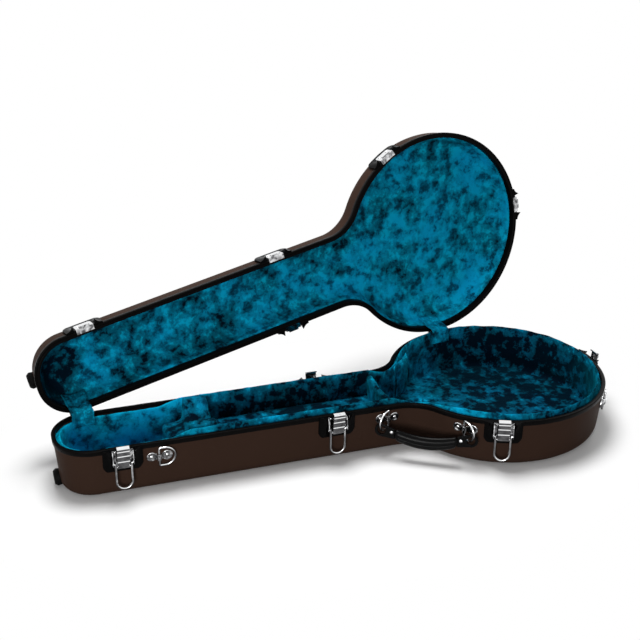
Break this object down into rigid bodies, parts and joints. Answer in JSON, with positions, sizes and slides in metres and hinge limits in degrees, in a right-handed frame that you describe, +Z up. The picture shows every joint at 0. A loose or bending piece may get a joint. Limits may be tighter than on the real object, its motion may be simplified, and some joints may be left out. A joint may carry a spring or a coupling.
{
  "type": "banjo case",
  "caption": "Moulded hard case in the outline of a banjo, standing open, with a velvet-padded inside, hinged lid, drawbolt latches, swinging handle and strap rings.",
  "frame": {"origin": "on the plane the flat bottom stands on, under the centre of the round pot", "axes": "+X along the case towards the tail end of the pot, -Y towards the handle and latches, +Z up"},
  "size_m": [1.1241, 0.533, 0.5236],
  "materials": {
    "shell": "dark brown moulded shell with a fine grain and a soft sheen",
    "trim": "black rim channel, smooth",
    "guard": "black moulded latch guard, semi-gloss",
    "velvet": "crushed peacock-blue velvet over padding",
    "chrome": "bright plated steel",
    "handle": "black leather, padded and stitched",
    "foot": "black rubber bumper"
  },
  "bodies": {
    "base": {"base_shell": "shell", "base_rim_trim": "trim", "base_lining": "velvet", "neck_rest": "velvet", "pocket_bulkhead": "velvet", "waist_bolster_front": "velvet", "waist_bolster_back": "velvet", "base_foot": "foot", "hinge_neck_base_leaf": "chrome", "hinge_pot_base_leaf": "chrome", "hinge_neck_cover": "velvet", "hinge_pot_cover": "velvet", "strap_peghead_clip": "chrome", "strap_tail_clip": "chrome", "handle_neck_clip": "chrome", "handle_pot_clip": "chrome", "latch_peghead_base_guard": "guard", "latch_peghead_plate": "chrome", "latch_neck_base_guard": "guard", "latch_neck_plate": "chrome", "latch_pot_base_guard": "guard", "latch_pot_plate": "chrome", "latch_tail_base_guard": "guard", "latch_tail_plate": "chrome", "latch_back_base_guard": "guard", "latch_back_plate": "chrome"},
    "lid": {"lid_shell": "shell", "lid_rim_trim": "trim", "lid_lining": "velvet", "lid_foot": "foot", "hinge_neck_lid_leaf": "chrome", "hinge_pot_lid_leaf": "chrome", "latch_peghead_lid_guard": "guard", "latch_peghead_keeper": "chrome", "latch_neck_lid_guard": "guard", "latch_neck_keeper": "chrome", "latch_pot_lid_guard": "guard", "latch_pot_keeper": "chrome", "latch_tail_lid_guard": "guard", "latch_tail_keeper": "chrome", "latch_back_lid_guard": "guard", "latch_back_keeper": "chrome"},
    "latch_peghead_bail": {"latch_peghead_bail": "chrome"},
    "latch_peghead_claw": {"latch_peghead_claw": "chrome"},
    "latch_neck_bail": {"latch_neck_bail": "chrome"},
    "latch_neck_claw": {"latch_neck_claw": "chrome"},
    "latch_pot_bail": {"latch_pot_bail": "chrome"},
    "latch_pot_claw": {"latch_pot_claw": "chrome"},
    "latch_tail_bail": {"latch_tail_bail": "chrome"},
    "latch_tail_claw": {"latch_tail_claw": "chrome"},
    "latch_back_bail": {"latch_back_bail": "chrome"},
    "latch_back_claw": {"latch_back_claw": "chrome"},
    "strap_peghead_ring": {"strap_peghead_ring": "chrome"},
    "strap_tail_ring": {"strap_tail_ring": "chrome"},
    "handle": {"handle_grip": "handle", "handle_tab_neck": "handle", "handle_tab_pot": "handle"},
    "handle_neck_ring": {"handle_neck_ring": "chrome"},
    "handle_pot_ring": {"handle_pot_ring": "chrome"},
    "pocket_lid": {"pocket_lid": "velvet"}
  },
  "joints": [
    {"name": "lid_hinge", "type": "hinge", "parent": "base", "child": "lid", "pos_m": [-0.80983, 0.07484, 0.09815], "axis": [0.9849, 0.173, 0], "range_deg": [0, 94.3], "deforming": ["hinge_neck_cover", "hinge_pot_cover"]},
    {"name": "latch_peghead_bail_swing", "type": "hinge", "parent": "base", "child": "latch_peghead_bail", "pos_m": [-0.75502, -0.08141, 0.07046], "axis": [-1, 0.0036, 0], "range_deg": [-4, 150]},
    {"name": "latch_peghead_claw_turn", "type": "hinge", "parent": "latch_peghead_bail", "child": "latch_peghead_claw", "pos_m": [-0.75502, -0.08141, 0.06446], "axis": [-1, 0.0036, 0], "range_deg": [-151, 5]},
    {"name": "latch_neck_bail_swing", "type": "hinge", "parent": "base", "child": "latch_neck_bail", "pos_m": [-0.36381, -0.08282, 0.07046], "axis": [-1, 0.0036, 0], "range_deg": [-4, 150]},
    {"name": "latch_neck_claw_turn", "type": "hinge", "parent": "latch_neck_bail", "child": "latch_neck_claw", "pos_m": [-0.36381, -0.08282, 0.06446], "axis": [-1, 0.0036, 0], "range_deg": [-151, 5]},
    {"name": "latch_pot_bail_swing", "type": "hinge", "parent": "base", "child": "latch_pot_bail", "pos_m": [-0.08739, -0.20098, 0.07046], "axis": [-0.9171, 0.3987, 0], "range_deg": [-4, 150]},
    {"name": "latch_pot_claw_turn", "type": "hinge", "parent": "latch_pot_bail", "child": "latch_pot_claw", "pos_m": [-0.08739, -0.20098, 0.06446], "axis": [-0.9171, 0.3987, 0], "range_deg": [-151, 5]},
    {"name": "latch_tail_bail_swing", "type": "hinge", "parent": "base", "child": "latch_tail_bail", "pos_m": [0.21916, 0, 0.07046], "axis": [0, -1, 0], "range_deg": [-4, 150]},
    {"name": "latch_tail_claw_turn", "type": "hinge", "parent": "latch_tail_bail", "child": "latch_tail_claw", "pos_m": [0.21916, 0, 0.06446], "axis": [0, -1, 0], "range_deg": [-151, 5]},
    {"name": "latch_back_bail_swing", "type": "hinge", "parent": "base", "child": "latch_back_bail", "pos_m": [-0.35881, 0.08283, 0.07046], "axis": [1, 0.0036, 0], "range_deg": [-4, 150]},
    {"name": "latch_back_claw_turn", "type": "hinge", "parent": "latch_back_bail", "child": "latch_back_claw", "pos_m": [-0.35881, 0.08283, 0.06446], "axis": [1, 0.0036, 0], "range_deg": [-151, 5]},
    {"name": "strap_peghead_ring_swing", "type": "hinge", "parent": "base", "child": "strap_peghead_ring", "pos_m": [-0.692, -0.0759, 0.06889], "axis": [0.0003, 0.0748, -0.9972], "range_deg": [0, 160]},
    {"name": "strap_tail_ring_swing", "type": "hinge", "parent": "base", "child": "strap_tail_ring", "pos_m": [0.16586, -0.13431, 0.06889], "axis": [-0.0581, 0.0471, -0.9972], "range_deg": [0, 160]},
    {"name": "handle_swing", "type": "hinge", "parent": "base", "child": "handle", "pos_m": [-0.20925, -0.13289, 0.05783], "axis": [-0.845, 0.5348, 0], "range_deg": [-3, 80]},
    {"name": "handle_neck_ring_swing", "type": "hinge", "parent": "base", "child": "handle_neck_ring", "pos_m": [-0.26179, -0.07775, 0.07288], "axis": [-0.0003, -0.0748, 0.9972], "range_deg": [-1, 3]},
    {"name": "handle_pot_ring_swing", "type": "hinge", "parent": "base", "child": "handle_pot_ring", "pos_m": [-0.14466, -0.15732, 0.07288], "axis": [0.0506, 0.0551, -0.9972], "range_deg": [-1, 3]},
    {"name": "pocket_lid_hinge", "type": "hinge", "parent": "base", "child": "pocket_lid", "pos_m": [0, 0.0572, 0.056], "axis": [1, 0, 0], "range_deg": [-86, 0]}
  ],
  "couplings": [
    {"joint": "latch_peghead_claw_turn", "follows": "latch_peghead_bail_swing", "ratio": -1},
    {"joint": "latch_neck_claw_turn", "follows": "latch_neck_bail_swing", "ratio": -1},
    {"joint": "latch_pot_claw_turn", "follows": "latch_pot_bail_swing", "ratio": -1},
    {"joint": "latch_tail_claw_turn", "follows": "latch_tail_bail_swing", "ratio": -1},
    {"joint": "latch_back_claw_turn", "follows": "latch_back_bail_swing", "ratio": -1},
    {"joint": "handle_neck_ring_swing", "follows": "handle_swing", "ratio": 0.03},
    {"joint": "handle_pot_ring_swing", "follows": "handle_swing", "ratio": 0.03}
  ]
}
